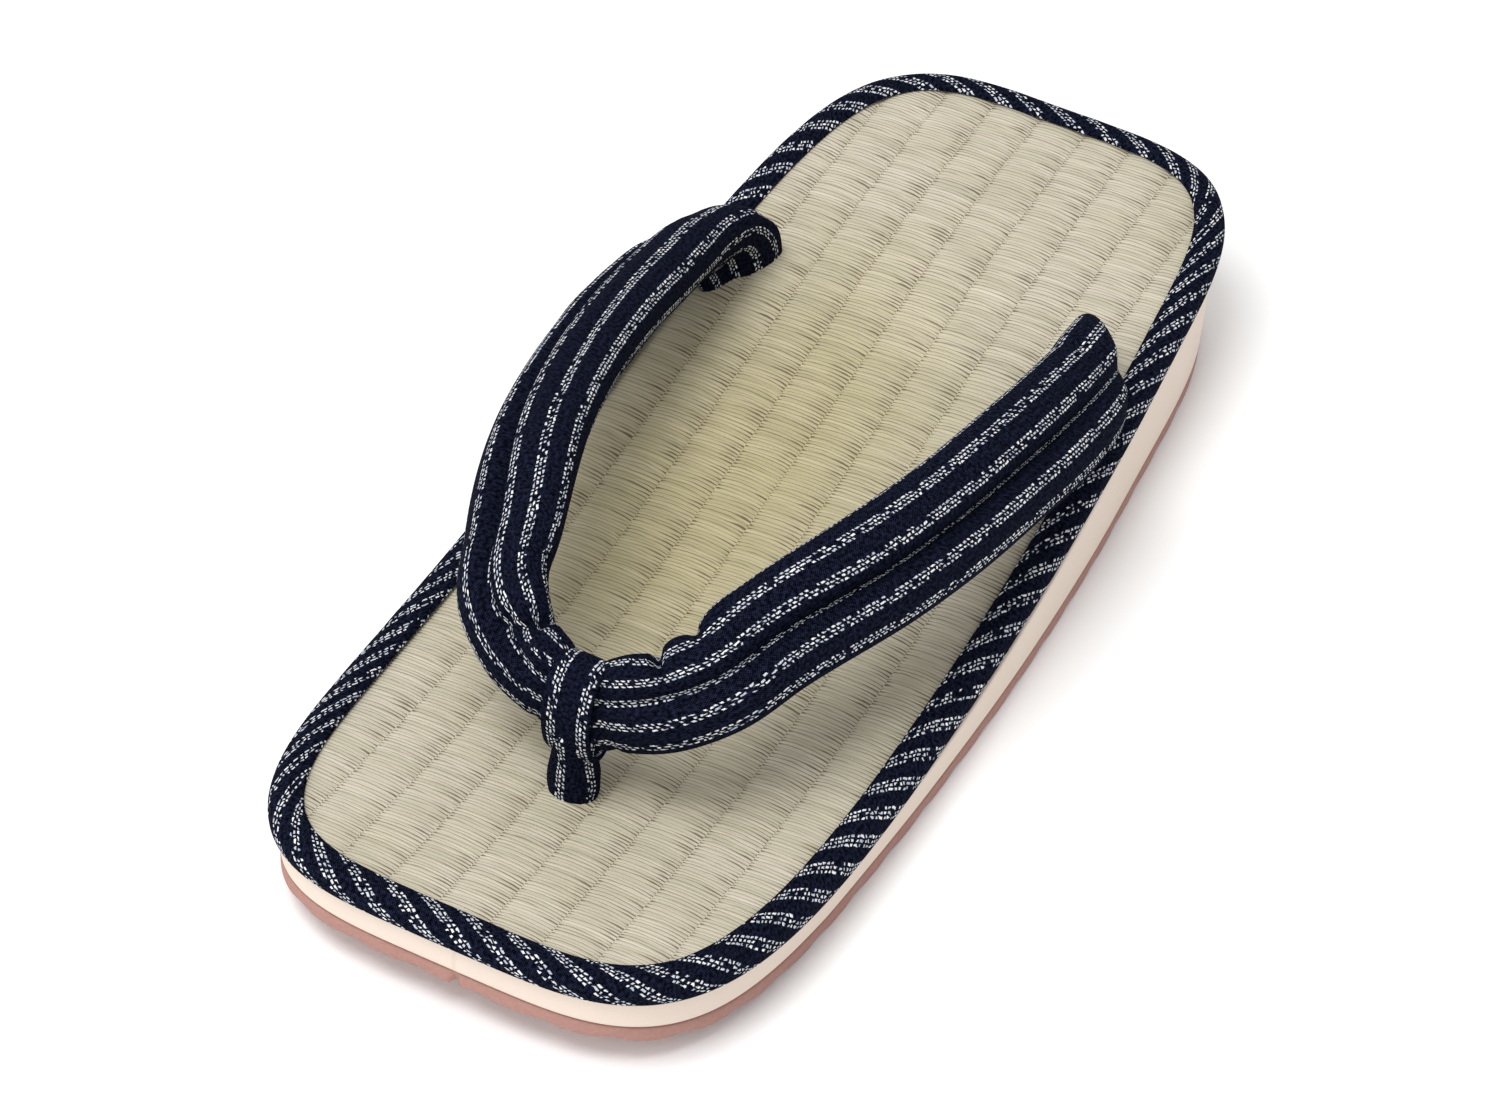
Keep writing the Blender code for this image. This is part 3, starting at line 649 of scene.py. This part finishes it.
# Troughs and ridges pressed into the straps: hand (1 right, -1 left, 0 both), run from the joint,
# place round the tube in degrees (0 lower edge, 90 outer face, 180 upper edge), how far each way
# they reach, and depth, where a minus is a ridge. Lengths are in millimetres.
CREASES = (
    (0, 5.2, 180, 1.2, 80, 0.7), (0, 5.4, 30, 1.0, 60, 0.5),
    (1, 17.5, 172, 1.2, 42, 2.6), (1, 11.0, 170, 3.6, 45, -0.9), (1, 21.5, 175, 2.0, 35, -0.5),
    (1, 26.5, 188, 1.7, 30, 1.5), (1, 33.0, 185, 4.0, 35, -0.6),
    (1, 17.0, 130, 2.2, 30, 0.5), (1, 9.0, 118, 4.5, 22, -0.3),
    (-1, 14.0, 170, 1.2, 34, 2.9), (-1, 15.8, 140, 1.3, 24, 3.0), (-1, 18.6, 115, 1.6, 18, 2.4),
    (-1, 9.5, 150, 3.0, 40, -1.1), (-1, 20.5, 155, 3.4, 36, -0.9), (-1, 30.0, 190, 2.5, 30, 0.5),
    (-1, 80.0, 134, 24.0, 8, 1.1), (-1, 70.0, 140, 8.0, 24, 0.25),
    (1, 60.0, 150, 7.0, 22, -0.25), (1, 84.0, 120, 8.0, 20, 0.25),
    (1, 112.0, 60, 6.0, 24, -0.3), (-1, 104.0, 55, 6.0, 24, -0.3),
    (0, 137.0, 150, 2.4, 40, 0.6), (0, 143.0, 110, 2.6, 30, -0.5), (-1, 148.0, 170, 2.0, 50, 0.8),
    (-1, 152.0, 285, 5.0, 26, 2.0), (1, 146.0, 150, 8.0, 45, -1.0),
)
VALLEY = (                  # run from the joint in millimetres, depth, place round the tube, reach
    (0, 0.2, 116, 9), (6, 0.5, 113, 9), (12, 2.0, 109, 10), (25, 2.8, 96, 11),
    (45, 3.6, 87, 10), (90, 3.9, 85, 10), (125, 3.2, 86, 12), (146, 1.2, 88, 18),
    (165, 0.5, 90, 20), (180, 0.2, 90, 20),
)
CLOTH = (                   # run from the joint in millimetres, turn of the cloth, share in the valley
    (0, 30, 0.002), (12, 22, 0.004), (25, 9, 0.014), (45, 0, 0.027), (90, 0, 0.028), (180, 0, 0.028),
)


def cloth_angles(mm):
    """Angles round a strap's oval of the cloth's lengthwise threads, which crowd into the valley."""
    turn, drawn = float(smooth(CLOTH, mm, 1)), float(smooth(CLOTH, mm, 2))
    fine = np.linspace(0, 2*math.pi, 721)
    step = np.hypot(MEAN_OVAL[0]*np.sin(fine), MEAN_OVAL[1]*np.cos(fine))
    girth = np.concatenate([[0], np.cumsum((step[1:] + step[:-1])/2)])
    off = np.linspace(0, 1, ROUND + 1) - VALLEY_AT
    far = off - np.round(off)
    share = off + 2*drawn*far - drawn*np.tanh(far/VALLEY_WIDE) + VALLEY_AT
    whole = np.floor(share)
    return np.interp(share - whole, girth/girth[-1], fine) + 2*math.pi*whole + math.radians(turn)


def around(apart):
    """The shorter way round, in degrees."""
    return (apart + 180) % 360 - 180


def arm_rings(hand):
    """The rings of an arm from the joint to its tucked end, and its run in millimetres."""
    inner_depth, inner_place, inner_reach = INNER_VALLEY
    rings = []
    for s, centre, wide, face, half_wide, half_thick in arm_frames(hand):
        mm = s*1000
        angles = cloth_angles(mm)
        degrees = np.degrees(angles)
        depth, place, reach = (float(smooth(VALLEY, mm, k)) for k in (1, 2, 3))
        dip = depth*np.exp(-(around(degrees - place)/reach)**2)
        dip = dip + inner_depth*depth*np.exp(-(around(degrees - inner_place)/inner_reach)**2)
        for owner, at, where, far, wide_by, deep in CREASES:
            if owner in (0, hand) and abs(mm - at) < 3*far:
                dip = dip + (deep*math.exp(-((mm - at)/far)**2)
                             *np.exp(-(around(degrees - where)/wide_by)**2))
        flat = face[None, :]*(half_thick*np.sin(angles))[:, None]
        ring = centre + wide[None, :]*(half_wide*np.cos(angles))[:, None] + flat
        normal = (wide[None, :]*(np.cos(angles)/half_wide)[:, None]
                  + face[None, :]*(np.sin(angles)/half_thick)[:, None])
        normal /= np.linalg.norm(normal, axis=1, keepdims=True)
        ring = ring - normal*(dip/1000)[:, None]
        ring[-1] = ring[0]
        if hand < 0:
            ring[:, 0] *= -1
        rings.append(ring)
    return rings, mm


def pole(ring):
    """A ring drawn together in its middle, which closes a tube's end."""
    return np.repeat(ring.mean(axis=0)[None, :], len(ring), axis=0)


right, arm_run = arm_rings(1)
left, _ = arm_rings(-1)
rings = left[:0:-1] + right
strap = skin("padded_strap", np.stack([pole(rings[0]), *rings, pole(rings[-1])]), (2*arm_run, STRAP_GIRTH))
strap.data.materials.append(striped_cotton("striped cotton, strap", STRAP_GIRTH/STRIPES, 0.0,
                                           STRAP_GIRTH*VALLEY_AT))
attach(strap, "root")
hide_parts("strap")

# Toe post
# A narrow tube of the same cotton. It comes up through the mat between the toes, spreads into a
# loop that goes over the joint of the straps and back, and is drawn tight, so a neck shows under it.
POST_BACK = 0.0790          # its foot, in front of the sandal's middle
POST_WIDE = 0.0094
POST_DEEP = 0.0084
POST_MAP = (27.0, 28.0)     # millimetres along it and round it, for its map
POST_ROUND = 56             # points round it
POST_STEPS = 90             # rings up it
TUBE = (                    # height over the mat, share of width, share of depth, shift back
    (-0.0080, 0.78, 0.78, 0.0000), (-0.0005, 0.96, 0.98, 0.0000), (0.0020, 1.02, 1.04, 0.0000),
    (0.0045, 1.01, 1.00, 0.0000), (0.0070, 0.95, 0.94, -0.0002), (0.0092, 0.86, 0.88, -0.0003),
    (0.0115, 0.92, 0.94, -0.0004), (0.0150, 0.96, 0.98, -0.0005), (0.0165, 0.70, 0.70, -0.0006),
    (0.0168, 0.02, 0.02, -0.0006),
)
TUCKS = (0.02, 5, 900)      # its slanting folds: share of the width, how many round it, radians a metre up
BAND_WIDE = 0.0094
BAND_THICK = 0.0020
BAND_OVER = 0.0001          # clearance over the straps
BAND_SQUARE = (0.7, 0.75)   # powers of its section's rounded corners, across and through
BAND_ROUND = 40             # points round the section
BAND_STEPS = 96             # sections round the joint
LOOP_MAP = (60.0, 40.0)     # millimetres along it and round its section
LOOP_STRIPE = 4.0           # from the middle of the loop to a stripe of the cloth
COTTON_PITCH = 5.8          # millimetres between the cloth's stripes
COTTON_SHIFT = -0.6         # from the post's front to a stripe

angles = np.linspace(0, 2*math.pi, POST_ROUND + 1)
mat_height = float(mat_top(-POST_BACK))
tuck, tucks, twist = TUCKS
rings = []
for over in np.linspace(TUBE[0][0], TUBE[-1][0], POST_STEPS):
    wide, deep, shift = (float(smooth(TUBE, over, k)) for k in (1, 2, 3))
    ring = np.column_stack([POST_WIDE/2*wide*np.cos(angles),
                            -POST_BACK + shift + POST_DEEP/2*deep*np.sin(angles),
                            np.full(len(angles), mat_height + over)])
    ring[:, 0] *= 1 + tuck*np.sin(tucks*angles + over*twist)*(over > 0)
    ring[-1] = ring[0]
    rings.append(ring)
stem = skin("toe_post_stem", np.stack([pole(rings[0]), *rings, pole(rings[-1])]), POST_MAP)
for corner in stem.data.uv_layers["cloth"].data:
    corner.uv.y -= POST_MAP[1]*0.75        # the front lies three quarters of the way round

centre, wide, face, half_wide, half_thick = arm_frames(1)[0][1:6]
rings = []
for turn in np.linspace(0, 2*math.pi, BAND_STEPS + 1):
    out = wide*(half_wide*math.cos(turn)) + face*(half_thick*math.sin(turn))
    normal = wide*(math.cos(turn)/half_wide) + face*(math.sin(turn)/half_thick)
    normal /= np.linalg.norm(normal)
    ring = []
    for corner in np.linspace(0, 2*math.pi, BAND_ROUND + 1):
        c, s = math.cos(corner), math.sin(corner)
        flat_c = math.copysign(abs(c)**BAND_SQUARE[0], c)
        flat_s = math.copysign(abs(s)**BAND_SQUARE[1], s)
        lift = BAND_THICK/2*flat_s + BAND_THICK/2 + BAND_OVER
        ring.append(centre + out + normal*lift + np.array((BAND_WIDE/2*flat_c, 0, 0)))
    ring[-1] = ring[0]
    rings.append(ring)
rings[-1] = rings[0]
loop = skin("toe_post_loop", np.array(rings), LOOP_MAP)
across_mm = [loop.data.vertices[c.vertex_index].co.x*1000 for c in loop.data.loops]
for corner, mm in zip(loop.data.uv_layers["cloth"].data, across_mm):
    corner.uv.y = mm - LOOP_STRIPE
cotton = striped_cotton("striped cotton, post", COTTON_PITCH, 0.0, COTTON_SHIFT)
for piece in (stem, loop):
    piece.data.materials.append(cotton)
    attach(piece, "root")
    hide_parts("toe_post")

# Studio
# A pale floor, a soft lamp above and a little in front, a weak one low in front, and a white room.
shape = bmesh.new()
bmesh.ops.create_grid(shape, x_segments=1, y_segments=1, size=3.0)
data = bpy.data.meshes.new("floor")
shape.to_mesh(data)
shape.free()
floor = bpy.data.objects.new("floor", data)
bpy.context.scene.collection.objects.link(floor)
paper, shader = finish("white paper", roughness=0.95, specular=0.1)
shader.inputs["Base Color"].default_value = linear("#fbfbfb")
floor.data.materials.append(paper)


def lamp(name, place, aim, size, power):
    light = bpy.data.lights.new(name, "AREA")
    light.shape = "DISK"
    light.size = size
    light.energy = power
    holder = bpy.data.objects.new(name, light)
    holder.location = place
    holder.rotation_euler = (Vector(aim) - Vector(place)).to_track_quat("-Z", "Y").to_euler()
    bpy.context.scene.collection.objects.link(holder)


lamp("key", (-0.17, -0.50, 1.3), (0, 0, 0.02), 0.75, 12.5)
lamp("fill", (-0.4, -1.4, 0.8), (0, 0, 0.02), 1.0, 6.0)
world = bpy.data.worlds.new("white room")
world.use_nodes = True
world.node_tree.nodes["Background"].inputs["Color"].default_value = (1, 1, 1, 1)
world.node_tree.nodes["Background"].inputs["Strength"].default_value = 0.72
bpy.context.scene.world = world
bpy.context.scene.view_settings.view_transform = "Standard"

# The photo's view, worked out from the sandal's outline and the seams of its mat.
eye = bpy.data.cameras.new("camera")
eye.lens = 117.5
eye.sensor_width = 36.0
camera = bpy.data.objects.new("camera", eye)
camera.location = (0.27707, -0.61397, 0.62555)
camera.rotation_euler = [math.radians(d) for d in (47.3864, -3.2064, 27.6927)]
bpy.context.scene.collection.objects.link(camera)
bpy.context.scene.camera = camera
